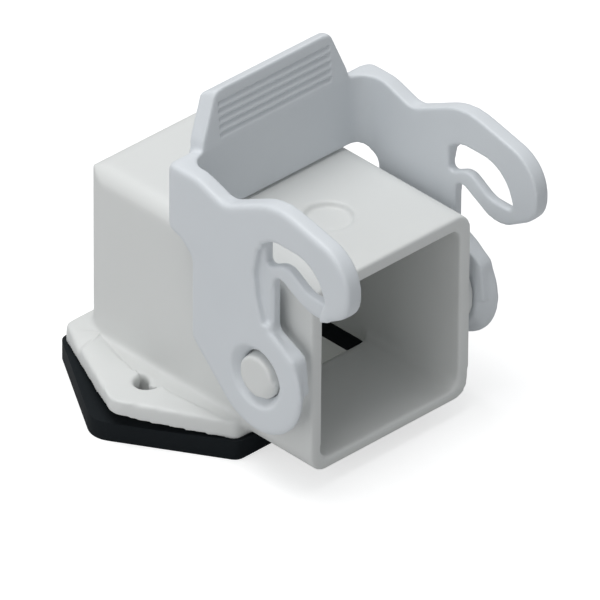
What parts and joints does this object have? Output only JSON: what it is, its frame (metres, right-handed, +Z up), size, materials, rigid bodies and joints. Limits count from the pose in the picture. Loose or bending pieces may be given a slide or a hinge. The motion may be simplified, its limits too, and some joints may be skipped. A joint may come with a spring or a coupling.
{
  "type": "heavy duty rectangular connector",
  "caption": "Angled bulkhead housing of a heavy duty rectangular connector: square mating collar, two-ear flange with gasket, and one swinging locking lever with hook plates.",
  "frame": {"origin": "centre of the opening in the panel, midway between the two screw holes, on the underside of the gasket", "axes": "+Z up away from the panel, the mating opening looks along -Y, +X to the right-hand side seen from behind the connector"},
  "size_m": [0.0434, 0.0478, 0.0427],
  "materials": {
    "housing_plastic": "satin light grey moulded thermoplastic",
    "gasket_rubber": "matt black",
    "lever_plastic": "satin light grey moulded thermoplastic"
  },
  "bodies": {
    "housing": {"housing": "housing_plastic", "flange_gasket": "gasket_rubber"},
    "lever": {"locking_lever": "lever_plastic"}
  },
  "joints": [
    {"name": "lever_hinge", "type": "hinge", "parent": "housing", "child": "lever", "pos_m": [0, -0.019, 0.0142], "axis": [1, 0, 0], "range_deg": [0, 79]}
  ]
}
